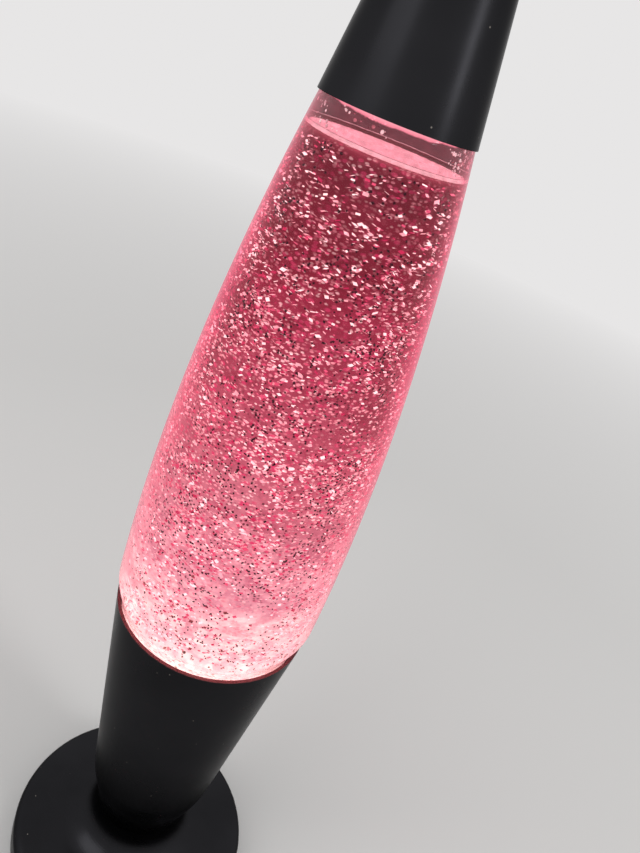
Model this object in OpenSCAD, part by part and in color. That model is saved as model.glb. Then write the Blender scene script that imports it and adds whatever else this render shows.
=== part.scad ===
// Liquid motion lamp: a glass bottle of glittering liquid stands in a waisted metal base
// over a small reflector bulb, under a cone-shaped metal cap.
// Millimetres. Z is the lamp's axis and points up, z = 0 is the surface that it stands on,
// -Y is the front, and the cord leaves at the back, on +Y.

/* [Base] */
// Diameter of the foot
foot_d = 112; // [106:1:130]
// Height of the foot's upper edge, before rounding
foot_h = 15.5; // [15:0.5:18]
// Radius of the foot's upper edge
foot_round = 4.5; // [3:0.5:4.5]
// Rise of the foot's upper face towards the waist
foot_rise = 3; // [1:0.5:4]
// Radius of the flare between foot and waist
flare_round = 15; // [8:0.5:16]
// Diameter of the waist
waist_d = 40.8; // [38:0.2:46]
// Height at which the base widens again above the waist
waist_z = 36.5; // [34:0.5:42]
// Radius of the bend above the waist
waist_round = 16; // [8:1:24]
// Diameter at the shoulder, where the straight cone starts
shoulder_d = 55.2; // [52:0.2:60]
// Height of the shoulder
shoulder_z = 60; // [54:1:70]
// Radius of the shoulder
shoulder_round = 60; // [20:5:80]
// Diameter of the base at its upper edge
collar_d = 78; // [75:0.5:80]
// Height of the base's upper edge
base_h = 166; // [160:1:190]
// Thickness of the spun metal
shell_wall = 1.2; // [0.8:0.1:1.6]

/* [Bottle seat] */
// Thickness of the soft ring that the bottle stands on
seat_t = 2.4; // [1.6:0.2:3.2]
// Height of the ring's wall above the bottle's bottom
seat_h = 14; // [8:1:24]
// Diameter of the opening in the ring, for the light
seat_open_d = 50; // [46:1:54]

/* [Bottle] */
// Largest diameter of the bottle
belly_d = 81; // [80:0.5:86]
// Height of the widest part above the base's upper edge
belly_rise = 24; // [18:1:40]
// Height of glass that shows between base and cap
show_h = 195; // [180:1:205]
// Depth to which the bottle stands in the base
sunk_h = 46; // [38:1:48]
// Gap between bottle and base at the base's upper edge
collar_gap = 0.6; // [0.4:0.1:1.2]
// Height of the bottle's rounded heel above the base
heel_h = 9; // [7:0.5:11]
// Radius of the heel
heel_round = 12; // [8:0.5:14]
// Radius of the edge round the bottle's bottom
bottom_round = 8; // [5:0.5:10]
// Rise of the bottle's bottom in the middle
punt_h = 7; // [4:0.5:10]
// Thickness of the glass
glass_wall = 2.5; // [2:0.1:3.2]
// Diameter of the neck
neck_d = 25; // [24:0.2:26]
// Diameter of the lip that the crown grips
lip_d = 26.6; // [26.2:0.1:26.8]
// Height of the lip
lip_h = 5; // [4:0.5:7]
// Height of the lip's top above the cap's lower edge
neck_rise = 36; // [34:1:42]

/* [Liquid and glitter] */
// Height of the air above the liquid, down from the cap's lower edge
air_h = 9.5; // [6:0.5:16]
// Width of a flake
flake_d = 1.2; // [0.8:0.1:2]
// Thickness of a flake
flake_t = 0.1; // [0.08:0.01:0.2]
// Number of flakes
flake_count = 160; // [60:20:240]

/* [Closure] */
// Diameter of the crown over its flutes
crown_d = 32.1; // [32:0.1:32.6]
// Height of the crown
crown_h = 6.5; // [5.5:0.1:7]
// Number of flutes round the crown
flute_count = 21; // [15:1:24]
// Depth of a flute
flute_h = 1.9; // [1:0.1:2]
// Thickness of the crown's metal
crown_wall = 0.5; // [0.3:0.05:0.6]
// Thickness of the liner under the crown
liner_t = 1; // [0.6:0.1:1.5]

/* [Cap] */
// Diameter of the cap's lower edge
cap_rim_d = 49.4; // [47:0.2:52]
// Diameter of the cap's top
cap_top_d = 26.6; // [24:0.2:34]
// Height of the cap
cap_h = 69; // [62:1:80]
// Radius of the cap's top edge
cap_round = 2.5; // [1.5:0.5:5]
// Thickness of the cap's metal
cap_wall = 0.6; // [0.5:0.1:0.9]
// Gap between the cap's lower edge and the bottle
cap_gap = 0.15; // [0.1:0.05:0.3]

/* [Bulb] */
// Diameter of the reflector bulb
bulb_d = 39; // [35:0.5:44]
// Length of the bulb over its screw cap
bulb_l = 67; // [62:1:70]
// Thickness of the bulb's glass
bulb_wall = 0.8; // [0.6:0.1:1]
// Height of the bulb's cone below its rim
bulb_cone_h = 26; // [20:1:28]
// Height of the bulb's domed face
bulb_face_h = 4; // [2:0.5:6]
// Height of the bulb's straight rim
bulb_rim_h = 13; // [10:1:14]
// Diameter of the screw cap
screw_d = 13.6; // [13.2:0.1:13.8]
// Length of the screw cap
screw_l = 16; // [14:0.5:17]
// Diameter of the bulb's neck inside the screw cap
bulb_neck_d = 11.4; // [11:0.1:11.8]
// Diameter of the solder contact
tip_d = 6; // [5:0.2:7]
// Height of the solder contact
tip_h = 1.4; // [1:0.1:2]
// Height of the insulator
insulator_h = 3; // [2:0.5:4]
// Height of the glass stem inside the bulb
stem_h = 18; // [14:1:20]
// Diameter of the stem
stem_d = 5; // [4:0.5:6]
// Spacing of the two lead wires
lead_gap = 8; // [6:0.5:12]
// Length of the lead wires above the stem
lead_l = 12; // [8:1:14]
// Diameter of a lead wire
lead_d = 0.8; // [0.6:0.1:1]
// Diameter of the filament
filament_d = 0.6; // [0.4:0.1:0.8]

/* [Lamp holder] */
// Diameter of the lamp holder
holder_d = 25; // [24:0.5:27]
// Height of the lamp holder
holder_h = 38; // [36:1:40]
// Height of the holder's lower face
holder_z = 20; // [19:0.5:23]
// Height of the holder's inner floor above its lower face
floor_h = 11; // [9:0.5:12]
// Diameter of the holder's lower face
holder_foot_d = 18; // [16:0.5:20]
// Height of the taper at the holder's lower end
holder_taper_h = 6; // [4:0.5:8]
// Thickness of the threaded shell
thread_wall = 0.4; // [0.3:0.05:0.6]
// Gap between the bulb's screw cap and the threaded shell
thread_gap = 0.25; // [0.2:0.05:0.3]
// Length of the threaded shell
thread_l = 20; // [16:1:22]
// Height of the threaded shell's lower end above the floor
thread_rise = 4; // [3:0.5:5]
// Height of the sprung contact
contact_h = 2.8; // [2.4:0.1:3.2]
// Width of the sprung contact
contact_w = 4; // [3:0.5:5]
// Thickness of the contact's metal
contact_t = 0.4; // [0.3:0.05:0.5]
// Diameter of the holder's threaded nipple
nipple_d = 10; // [9.6:0.1:10.4]
// Bore of the nipple, for the leads
nipple_bore = 6.4; // [5:0.2:7]
// Length of the nipple
nipple_l = 7; // [6:0.5:8]
// Width of the nut across its flats
nut_w = 14; // [13:0.5:15]
// Height of the nut
nut_h = 3.5; // [3:0.5:4.5]

/* [Bracket] */
// Thickness of the bracket's steel
bracket_t = 1.5; // [1:0.1:2]
// Width of the bracket
bracket_w = 18; // [16:1:20]
// Length of the bracket's upper web
web_l = 24; // [22:0.5:26]
// Length of each foot of the bracket past the head of its screw
bracket_end = 1.4; // [1:0.1:2]
// Radius of the bracket's bends
bracket_round = 2; // [1.6:0.1:2.5]

/* [Foot] */
// Thickness of the soft ring that the lamp stands on
ring_t = 2; // [1.9:0.1:2.4]
// Width of that ring
ring_w = 7.5; // [6:0.5:9]
// Distance of the ring from the foot's outer edge
ring_inset = 1.5; // [1:0.1:2]
// Radius of the ring's lower edges
ring_round = 0.6; // [0.3:0.1:1]
// Thickness of the bottom cover
cover_t = 1; // [0.8:0.1:1.2]
// Distance of the cover's edge from the foot's outer edge
cover_inset = 0.6; // [0.4:0.1:0.8]
// Width of the cover's flat rim, from the foot's outer edge to the dish
dish_inset = 21; // [20:0.5:23]
// Depth of the dish
dish_h = 5; // [4:0.5:6]
// Radius of the dish's bends
dish_round = 2.5; // [2:0.1:3]
// Length of a vent slot
vent_l = 12; // [8:1:13]
// Width of a vent slot
vent_w = 4; // [3:0.5:5]
// Angle between vent slots
vent_step = 40; // [36:1:44]
// Gap between the soft ring and the heads of the cover's screws
screw_margin = 2.4; // [1.5:0.1:3]
// Width of a tab
tab_w = 12; // [10:1:14]
// Thickness of a tab
tab_t = 1.5; // [1:0.1:2]
// Length of a tab inside the screw's centre
tab_end = 5; // [4:0.5:6]
// Height of a tab's upright side
tab_h = 7; // [5:0.5:8]

/* [Screws] */
// Diameter of a screw's shank
shank_d = 2.8; // [2.4:0.1:3]
// Diameter of a screw's head
head_d = 5.2; // [4.6:0.1:5.6]
// Height of a screw's head
head_h = 1.8; // [1.4:0.1:2]
// Length of a screw past the sheets that it joins
screw_spare = 2; // [1.5:0.1:2.5]
// Width of the slot in a screw's head
slot_w = 0.8; // [0.6:0.1:1]

/* [Cord bush] */
// Bore for the cord
cord_bore = 5.2; // [4.6:0.1:5.6]
// Thickness of the bush round the bore
bush_wall = 0.9; // [0.7:0.1:1]
// Diameter of the bush's flanges
bush_d = 9.2; // [8.6:0.1:9.2]
// Thickness of the bush's flanges
bush_flange = 1.5; // [1:0.1:2]
// Height of the bush's centre
bush_z = 7.7; // [7.7:0.05:7.8]

/* [Clearances] */
// Gap between pieces that lift off or turn
lift_gap = 0.3; // [0.2:0.05:0.5]
// Gap between fixed pieces with curved faces
fit_gap = 0.05; // [0.03:0.01:0.1]

/* [Hidden] */
fine = 96;
eps = 0.01;
golden_angle = 137.508;
golden_part = 0.618034;

// Levels from the surface up
rim_z = ring_t + cover_t;
dish_z = rim_z + dish_h;
floor_z = holder_z + floor_h;
tip_z = floor_z + contact_h + lift_gap;
insulator_z = tip_z + tip_h + lift_gap / 3;
screw_z = insulator_z + insulator_h;
bulb_top = tip_z + bulb_l;
bottle_z = base_h - sunk_h;
seat_z = bottle_z - lift_gap - seat_t;
heel_z = base_h + heel_h;
belly_z = base_h + belly_rise;
cap_z = base_h + show_h;
level_z = cap_z - air_h;
lip_z = cap_z + neck_rise;

// Radii that other pieces follow
foot_r = foot_d / 2;
ring_out_r = foot_r - ring_inset;
ring_in_r = ring_out_r - ring_w;
screw_ring_r = ring_in_r - screw_margin - head_d / 2;
dish_r = foot_r - dish_inset;
neck_r = neck_d / 2;
lip_r = lip_d / 2;
crown_r = crown_d / 2;
cone_slope = (collar_d - shoulder_d) / 2 / (base_h - shoulder_z);
cone_lean = atan(cone_slope);
cap_lean = atan((cap_rim_d - cap_top_d) / 2 / cap_h);
cap_in_r = cap_rim_d / 2 - cap_wall / cos(cap_lean);
thread_r = screw_d / 2 + thread_gap;
bracket_screw_x = web_l / 2 + 2 * bracket_t + bracket_round + head_d / 2;

// Inside of the base's straight cone at height z
function cone_in_r(z) = collar_d / 2 - cone_slope * (base_h - z) - shell_wall / cos(cone_lean);

// Bottle's outside where it stands in the base, and its long side above
low_r = cone_in_r(bottle_z) - seat_t - lift_gap;
collar_r = cone_in_r(base_h) - collar_gap;
function low_wall_r(z) = low_r + (collar_r - low_r) * (z - bottle_z) / sunk_h;
function side_r(z) = belly_d / 2 - side_round + sqrt(side_round ^ 2 - (z - belly_z) ^ 2);
// Radius of the long curve that is upright at the belly and meets the cap's edge
side_in = belly_d / 2 - cap_in_r + cap_gap;
side_round = ((cap_z - belly_z) ^ 2 + side_in ^ 2) / 2 / side_in;
// Inside of the bottle at height z, on the safe side at the heel
function inside_r(z) = min(low_wall_r(min(z, base_h)), side_r(max(z, belly_z))) - glass_wall;

// Outlines: corner points are [x, z] or [x, z, radius]
function flat(p) = [p[0], p[1]];
function towards(a, b) = (b - a) / norm(b - a);
function angle_of(v) = atan2(v[1], v[0]);
function turn(a, b) = (b - a + 540) % 360 - 180;
function reversed(p) = [for (i = [len(p) - 1 : -1 : 0]) p[i]];

// Arc of radius r at corner b between a and c, kept within four fifths of each side
function corner(a, b, c, r) =
    let (u = towards(b, a), v = towards(b, c))
    let (half = acos(u * v) / 2)
    let (reach = min(r / tan(half), 0.8 * min(norm(a - b), norm(c - b))))
    let (m = b + towards([0, 0], u + v) * (reach / cos(half)))
    let (from = angle_of(b + u * reach - m), sweep = turn(from, angle_of(b + v * reach - m)))
    let (steps = max(3, ceil(abs(sweep) / 4)))
    [for (k = [0 : steps]) m + reach * tan(half) * [cos(from + sweep * k / steps), sin(from + sweep * k / steps)]];

// Outline through corner points, with an arc at each one that has a radius
function rounded(c) = [for (i = [0 : len(c) - 1]) each
    is_undef(c[i][2]) ? [flat(c[i])] : corner(flat(c[i - 1]), flat(c[i]), flat(c[i + 1]), c[i][2])];

// Outline moved by d to the left of its direction
function shifted(p, d) = [for (i = [0 : len(p) - 1])
    let (t = towards(p[max(i - 1, 0)], p[min(i + 1, len(p) - 1)]))
    p[i] + d * [-t[1], t[0]]];

// Closed section of a sheet of thickness t to the left of an outline
function sheet(p, t) = concat(p, reversed(shifted(p, t)));

base_outline = rounded([
    [foot_r, rim_z],
    [foot_r, foot_h, foot_round],
    [waist_d / 2, foot_h + foot_rise, flare_round],
    [waist_d / 2, waist_z, waist_round],
    [shoulder_d / 2, shoulder_z, shoulder_round],
    [collar_d / 2, base_h]
]);

punt_r = low_r / 2;
stand_r = low_r - bottom_round;
shoulder_rise = 3;
shoulder_h = 15;
shoulder_soft = 10;
throat_soft = 9;
side_steps = 24;
side_from = heel_z;
side_to = cap_z + shoulder_rise;
bottle_outline = rounded(concat(
    [
        [0, bottle_z + punt_h],
        [punt_r, bottle_z + punt_h, bottom_round],
        [stand_r, bottle_z, bottom_round / 2],
        [low_r, bottle_z, bottom_round],
        [collar_r, base_h, heel_round / 2],
        [side_r(side_from), side_from, heel_round]
    ],
    [for (k = [1 : side_steps - 1]) let (z = side_from + (side_to - side_from) * k / side_steps) [side_r(z), z]],
    [
        [side_r(side_to), side_to, shoulder_soft],
        [neck_r, cap_z + shoulder_h, throat_soft],
        [neck_r, lip_z]
    ]
));

cap_outline = rounded([[cap_rim_d / 2, cap_z], [cap_top_d / 2, cap_z + cap_h, cap_round], [0, cap_z + cap_h]]);

module turned(section) {
    rotate_extrude($fn = fine) polygon(section);
}

module ring(r_out, r_in, h) {
    difference() {
        cylinder(r = r_out, h = h, $fn = fine);
        translate([0, 0, -eps]) cylinder(r = r_in, h = h + 2 * eps, $fn = fine);
    }
}

// Round-ended slot along X, from x0 over length l
module slot(x0, l, w, h) {
    linear_extrude(h) {
        translate([x0, -w / 2]) square([l, w]);
        for (x = [x0, x0 + l]) translate([x, 0]) circle(d = w, $fn = 32);
    }
}

// Screw standing on the sheets that it joins: head above z = 0, shank below
module screw(grip) {
    difference() {
        union() {
            cylinder(d = head_d, h = head_h, $fn = 32);
            translate([0, 0, -grip - screw_spare]) cylinder(d = shank_d, h = grip + screw_spare + eps, $fn = 32);
        }
        translate([-head_d, -slot_w / 2, head_h / 2]) cube([2 * head_d, slot_w, head_h]);
    }
}

// Places of the cover's screws and tabs: one at the front and two beside the cord
module cover_places() {
    for (a = [30, 150, 270]) rotate(a) children();
}

// Places of the bracket's screws, on its feet
module bracket_places() {
    for (side = [-1, 1]) translate([side * bracket_screw_x, 0]) children();
}

module base_shell() {
    color([0.27, 0.27, 0.28]) difference() {
        turned(sheet(base_outline, shell_wall));
        translate([0, foot_r + eps, bush_z]) rotate([90, 0, 0])
            cylinder(d = cord_bore + 2 * bush_wall + 2 * fit_gap, h = foot_round + shell_wall, $fn = 48);
    }
}

module seat_ring() {
    top = bottle_z + seat_h;
    color([0.12, 0.12, 0.12]) turned([
        [seat_open_d / 2, seat_z],
        [cone_in_r(seat_z) - fit_gap, seat_z],
        [cone_in_r(top) - fit_gap, top],
        [low_wall_r(top) + lift_gap, top],
        [low_r + lift_gap, bottle_z - lift_gap],
        [seat_open_d / 2, bottle_z - lift_gap]
    ]);
}

module bottom_cover() {
    under = rounded([
        [0, ring_t + dish_h],
        [dish_r - dish_round, ring_t + dish_h, dish_round],
        [dish_r, ring_t, dish_round],
        [foot_r - cover_inset, ring_t]
    ]);
    vent_x = dish_r - dish_round - vent_w - vent_l;
    color([0.55, 0.55, 0.56]) difference() {
        turned(sheet(under, cover_t));
        for (side = [90, 270], k = [-1 : 1])
            rotate(side + k * vent_step) translate([0, 0, ring_t]) slot(vent_x, vent_l, vent_w, dish_z);
        bracket_places() cylinder(d = shank_d + 2 * fit_gap, h = 2 * dish_z, $fn = 32);
        cover_places() translate([screw_ring_r, 0]) cylinder(d = shank_d + 2 * fit_gap, h = 2 * dish_z, $fn = 32);
    }
}

module cover_tabs() {
    wall_r = foot_r - shell_wall - fit_gap;
    start = screw_ring_r - tab_end;
    color([0.6, 0.6, 0.6]) cover_places() difference() {
        intersection() {
            translate([start, -tab_w / 2, rim_z]) difference() {
                cube([foot_r - start, tab_w, tab_h]);
                translate([-eps, -eps, tab_t]) cube([wall_r - tab_t - start - tab_w ^ 2 / 8 / foot_r, 2 * tab_w, tab_h]);
            }
            cylinder(r = wall_r, h = foot_h, $fn = fine);
        }
        translate([screw_ring_r, 0]) cylinder(d = shank_d + 2 * fit_gap, h = 2 * dish_z, $fn = 32);
    }
}

module cover_screws() {
    color([0.75, 0.75, 0.75]) cover_places()
        translate([screw_ring_r, 0, ring_t]) rotate([180, 0, 0]) screw(cover_t + tab_t);
}

module foot_ring() {
    color([0.1, 0.1, 0.1]) turned(rounded([
        [ring_in_r, ring_t], [ring_in_r, 0, ring_round], [ring_out_r, 0, ring_round], [ring_out_r, ring_t]
    ]));
}

module cord_bush() {
    bore_r = cord_bore / 2;
    sag = bush_d ^ 2 / 8 / (foot_r - shell_wall);
    groove_in = foot_r - shell_wall - sag - fit_gap;
    groove_out = foot_r + fit_gap;
    color([0.08, 0.08, 0.08]) translate([0, 0, bush_z]) rotate([-90, 0, 0]) turned([
        [bore_r, groove_in - bush_flange],
        [bush_d / 2, groove_in - bush_flange],
        [bush_d / 2, groove_in],
        [bore_r + bush_wall, groove_in],
        [bore_r + bush_wall, groove_out],
        [bush_d / 2, groove_out],
        [bush_d / 2, groove_out + bush_flange],
        [bore_r, groove_out + bush_flange]
    ]);
}

module holder_bracket() {
    foot_x = bracket_screw_x + head_d / 2 + bracket_end;
    web_z = holder_z - bracket_t;
    under = rounded([
        [-foot_x, dish_z],
        [-web_l / 2 - bracket_t, dish_z, bracket_round],
        [-web_l / 2, web_z, bracket_round],
        [web_l / 2, web_z, bracket_round],
        [web_l / 2 + bracket_t, dish_z, bracket_round],
        [foot_x, dish_z]
    ]);
    color([0.65, 0.65, 0.66]) difference() {
        rotate([90, 0, 0]) linear_extrude(bracket_w, center = true) polygon(sheet(under, bracket_t));
        cylinder(d = nipple_d + 2 * fit_gap, h = 2 * holder_z, $fn = 48);
        bracket_places() cylinder(d = shank_d + 2 * fit_gap, h = holder_z, $fn = 32);
    }
}

module bracket_screws() {
    color([0.75, 0.75, 0.75]) bracket_places() translate([0, 0, dish_z + bracket_t]) screw(bracket_t + cover_t);
}

module holder_body() {
    top = holder_z + holder_h;
    color([0.9, 0.88, 0.82]) difference() {
        turned([
            [0, holder_z - nipple_l],
            [nipple_d / 2, holder_z - nipple_l],
            [nipple_d / 2, holder_z],
            [holder_foot_d / 2, holder_z],
            [holder_d / 2, holder_z + holder_taper_h],
            [holder_d / 2, top],
            [0, top]
        ]);
        translate([0, 0, floor_z]) cylinder(r = thread_r + thread_wall + fit_gap, h = holder_h, $fn = 64);
        translate([0, 0, holder_z - nipple_l - eps]) cylinder(d = nipple_bore, h = nipple_l + floor_h / 2, $fn = 48);
    }
}

module holder_nut() {
    color([0.75, 0.68, 0.4]) translate([0, 0, holder_z - bracket_t - nut_h]) difference() {
        cylinder(d = nut_w / cos(30), h = nut_h, $fn = 6);
        translate([0, 0, -eps]) cylinder(d = nipple_d + 2 * fit_gap, h = nut_h + 2 * eps, $fn = 48);
    }
}

module holder_shell() {
    color([0.8, 0.65, 0.3]) translate([0, 0, floor_z + thread_rise]) ring(thread_r + thread_wall, thread_r, thread_l);
}

module holder_contact() {
    reach = thread_r - contact_t - thread_wall - 1.5 * lift_gap;
    bend = 1.5 * contact_t;
    strip = rounded([
        [-reach, floor_z],
        [reach - contact_t, floor_z, bend],
        [reach - contact_t, floor_z + contact_h / 2, bend],
        [-tip_d / 4, floor_z + contact_h, bend],
        [-tip_d / 2, floor_z + 0.8 * contact_h]
    ]);
    color([0.8, 0.65, 0.3]) rotate([90, 0, 0]) linear_extrude(contact_w, center = true) polygon(sheet(strip, contact_t));
}

module bulb_tip() {
    color([0.7, 0.7, 0.7]) turned(rounded([
        [0, tip_z], [tip_d / 2, tip_z, tip_h / 2], [tip_d / 2, tip_z + tip_h], [0, tip_z + tip_h]
    ]));
}

module bulb_insulator() {
    color([0.05, 0.05, 0.06]) turned([
        [0, insulator_z], [tip_d / 2 + fit_gap, insulator_z], [screw_d / 2, screw_z], [0, screw_z]
    ]);
}

module bulb_screw_cap() {
    color([0.75, 0.75, 0.74]) translate([0, 0, screw_z]) ring(screw_d / 2, bulb_neck_d / 2 + fit_gap, screw_l);
}

module bulb_envelope() {
    rim_top = bulb_top - bulb_face_h;
    rim_bottom = rim_top - bulb_rim_h;
    glass = rounded([
        [bulb_neck_d / 2, screw_z + screw_l / 2],
        [bulb_neck_d / 2, rim_bottom - bulb_cone_h, bulb_d / 5],
        [bulb_d / 2, rim_bottom, bulb_d / 4],
        [bulb_d / 2, rim_top, bulb_d / 6],
        [bulb_d / 6, bulb_top, bulb_d / 4],
        [0, bulb_top]
    ]);
    color([0.95, 0.93, 0.88]) turned(sheet(glass, bulb_wall));
}

module bulb_stem() {
    foot = bulb_neck_d / 2 - bulb_wall - fit_gap;
    bottom = screw_z + screw_l / 2;
    color([0.8, 0.85, 0.85]) turned([
        [0, bottom], [foot, bottom], [foot, bottom + bulb_wall], [stem_d / 2, bottom + stem_d / 2],
        [stem_d / 2, bottom + stem_h / 2], [lead_gap / 2 + lead_d, bottom + stem_h - lead_d],
        [lead_gap / 2 + lead_d, bottom + stem_h], [0, bottom + stem_h]
    ]);
}

module bulb_leads() {
    color([0.6, 0.6, 0.6]) for (side = [-1, 1])
        translate([side * lead_gap / 2, 0, screw_z + screw_l / 2 + stem_h]) cylinder(d = lead_d, h = lead_l, $fn = 24);
}

module bulb_filament() {
    color([1, 0.8, 0.4]) translate([0, 0, screw_z + screw_l / 2 + stem_h + lead_l]) rotate([90, 0, 0])
        rotate_extrude(angle = 180, $fn = fine) translate([lead_gap / 2, 0]) circle(d = filament_d, $fn = 24);
}

module bottle_glass() {
    color([0.9, 0.75, 0.78, 0.4]) union() {
        turned(sheet(bottle_outline, glass_wall));
        translate([0, 0, lip_z - lip_h]) ring(lip_r, neck_r - glass_wall / 2, lip_h);
    }
}

module liquid_fill() {
    inside = shifted(bottle_outline, glass_wall + fit_gap);
    color([0.93, 0.35, 0.48, 0.6]) rotate_extrude($fn = fine) intersection() {
        polygon(concat(inside, [[0, lip_z]]));
        square([belly_d, level_z]);
    }
}

// Flakes follow a golden-angle spiral up the liquid, each turned its own way
module glitter_flakes() {
    from = bottle_z + punt_h + 2 * glass_wall;
    to = level_z - 2 * flake_d;
    color([0.98, 0.85, 0.88]) for (i = [0 : flake_count - 1]) {
        z = from + (to - from) * (i + 0.5) / flake_count;
        share = (i * golden_part) % 1;
        rotate(i * golden_angle) translate([(inside_r(z) - flake_d) * sqrt(share), 0, z])
            rotate([360 * share, 180 * ((i * golden_part ^ 2) % 1), 0])
            cylinder(d = flake_d, h = flake_t, center = true, $fn = 6);
    }
}

module crown_closure() {
    top = lip_z + liner_t + crown_wall;
    skirt = crown_r - flute_h / 2;
    skirt_top = lip_z - crown_wall;
    grip_r = lip_r + fit_gap;
    points = 6 * flute_count;
    function wave(k, inset) = let (a = 360 * k / points)
        (skirt - inset + flute_h / 2 * cos(flute_count * a)) * [cos(a), sin(a)];
    color([0.78, 0.7, 0.45]) union() {
        turned(concat(
            [[0, top - crown_wall], [grip_r, top - crown_wall], [grip_r, skirt_top], [skirt, skirt_top]],
            corner([skirt, skirt_top], [skirt - flute_h / 2, top], [0, top], liner_t),
            [[0, top]]
        ));
        translate([0, 0, top - crown_h]) linear_extrude(skirt_top - top + crown_h + crown_wall) difference() {
            polygon([for (k = [0 : points - 1]) wave(k, 0)]);
            polygon([for (k = [0 : points - 1]) wave(k, crown_wall)]);
        }
    }
}

module crown_liner() {
    color([0.85, 0.85, 0.82]) translate([0, 0, lip_z]) cylinder(r = lip_r, h = liner_t, $fn = fine);
}

module cap_shell() {
    color([0.27, 0.27, 0.28]) turned(sheet(cap_outline, cap_wall));
}

base_shell();
seat_ring();
bottom_cover();
cover_tabs();
cover_screws();
foot_ring();
cord_bush();
holder_bracket();
bracket_screws();
holder_body();
holder_nut();
holder_shell();
holder_contact();
bulb_tip();
bulb_insulator();
bulb_screw_cap();
bulb_envelope();
bulb_stem();
bulb_leads();
bulb_filament();
bottle_glass();
liquid_fill();
glitter_flakes();
crown_closure();
crown_liner();
cap_shell();
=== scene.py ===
"""Liquid motion lamp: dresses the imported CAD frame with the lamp's glass, liquid, glitter and metal."""

import math
import random

import bmesh
import bpy
from mathutils import Matrix, Vector, noise


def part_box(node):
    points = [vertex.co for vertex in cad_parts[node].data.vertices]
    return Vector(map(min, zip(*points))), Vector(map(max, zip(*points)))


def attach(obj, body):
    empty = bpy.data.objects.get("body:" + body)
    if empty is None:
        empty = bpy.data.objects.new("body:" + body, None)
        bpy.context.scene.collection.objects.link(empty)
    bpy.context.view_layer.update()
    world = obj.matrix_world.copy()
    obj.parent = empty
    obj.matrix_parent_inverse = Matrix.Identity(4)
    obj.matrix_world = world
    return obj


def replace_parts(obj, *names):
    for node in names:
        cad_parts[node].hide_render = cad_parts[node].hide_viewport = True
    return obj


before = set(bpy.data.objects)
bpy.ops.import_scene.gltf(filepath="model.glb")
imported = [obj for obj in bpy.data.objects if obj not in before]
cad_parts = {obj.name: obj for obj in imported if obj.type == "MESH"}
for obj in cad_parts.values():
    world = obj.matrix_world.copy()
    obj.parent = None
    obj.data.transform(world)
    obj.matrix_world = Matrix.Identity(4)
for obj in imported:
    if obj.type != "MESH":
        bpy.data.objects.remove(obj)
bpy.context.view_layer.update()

bl_info = {
    "name": "Liquid motion lamp",
    "version": (1, 0, 0),
    "blender": (4, 5, 0),
    "location": "View3D > Sidebar > Motion lamp",
    "description": "Builds the bottle, liquid, glitter and metal of a liquid motion lamp on its CAD frame",
    "category": "Add Mesh",
}

MM = 0.001
SAME_PLACE = 1e-6
PICTURE_HEIGHT = 853


def top_of(node):
    """Height of a CAD node's highest point, in metres."""
    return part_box(node)[1].z


def bottom_of(node):
    """Height of a CAD node's lowest point, in metres."""
    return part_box(node)[0].z


def reach_of(node):
    """Largest X of a CAD node, which is the radius of a turned one, in metres."""
    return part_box(node)[1].x


# Settings


def length(name, description, default, low=0.0, high=1.0):
    """A length property in metres."""
    return bpy.props.FloatProperty(
        name=name, description=description, default=default, min=low, max=high, unit="LENGTH", precision=5,
    )


def colour(name, description, default):
    """A colour property."""
    return bpy.props.FloatVectorProperty(
        name=name, description=description, default=default, size=3, min=0.0, max=1.0, subtype="COLOR",
    )


def angle(name, description, degrees):
    """An angle property."""
    return bpy.props.FloatProperty(
        name=name, description=description, default=math.radians(degrees), subtype="ANGLE", precision=4,
    )


def share(name, description, default):
    """A property from 0 to 1."""
    return bpy.props.FloatProperty(
        name=name, description=description, default=default, min=0.0, max=1.0, subtype="FACTOR",
    )


def amount(name, description, default, high):
    """A plain number from 0 up."""
    return bpy.props.FloatProperty(name=name, description=description, default=default, min=0.0, max=high)


def count(name, description, default, high):
    """A whole number of things."""
    return bpy.props.IntProperty(name=name, description=description, default=default, min=0, max=high)


class LampMetalSettings(bpy.types.PropertyGroup):
    """Spun metal of the base and the cap."""

    shoulder_radius: length("Shoulder radius", "Radius at which the base's straight cone starts", 27.6 * MM)
    shoulder_height: length("Shoulder height", "Height at which the base's straight cone starts", 60 * MM)
    collar_radius: length("Collar radius", "Radius of the base's upper edge", 39 * MM)
    wall: length("Base wall", "Thickness of the base's metal", 1.2 * MM)
    cap_wall: length("Cap wall", "Thickness of the cap's metal", 0.6 * MM)
    dark: colour("Dark tone", "Darker tone of the gunmetal", (0.018, 0.018, 0.020))
    light: colour("Light tone", "Lighter tone of the gunmetal", (0.027, 0.027, 0.030))
    dust: colour("Dust", "Tone of the dust specks on the metal", (0.22, 0.20, 0.18))
    # Painted light: the liquid's rose glow on the edge of the base's collar
    painted_collar_glow: colour("Painted collar glow", "Tone of the liquid's glow painted on the edge of the base's collar", (0.13, 0.05, 0.055))


class LampInsideSettings(bpy.types.PropertyGroup):
    """Colours of the holder, bulb, closure and foot."""

    rubber: colour("Rubber", "Soft rings and the cord's bush", (0.020, 0.020, 0.021))
    steel: colour("Steel", "Zinc-plated steel", (0.46, 0.47, 0.49))
    holder: colour("Holder", "Moulded lamp holder", (0.70, 0.66, 0.56))
    brass: colour("Brass", "Threaded shell, contact and nut", (0.72, 0.50, 0.20))
    bulb: colour("Bulb", "Frosted glass of the bulb", (0.88, 0.82, 0.72))
    bulb_light: colour("Bulb light", "Light of the bulb", (1.0, 0.66, 0.36))
    screw_cap: colour("Screw cap", "Rolled aluminium of the bulb's cap", (0.70, 0.70, 0.69))
    insulator: colour("Insulator", "Black glass at the end of the bulb's cap", (0.012, 0.012, 0.015))
    crown: colour("Crown", "Lacquered tinplate of the bottle's closure", (0.60, 0.46, 0.20))
    liner: colour("Liner", "Soft disc under the crown", (0.66, 0.65, 0.60))


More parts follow.
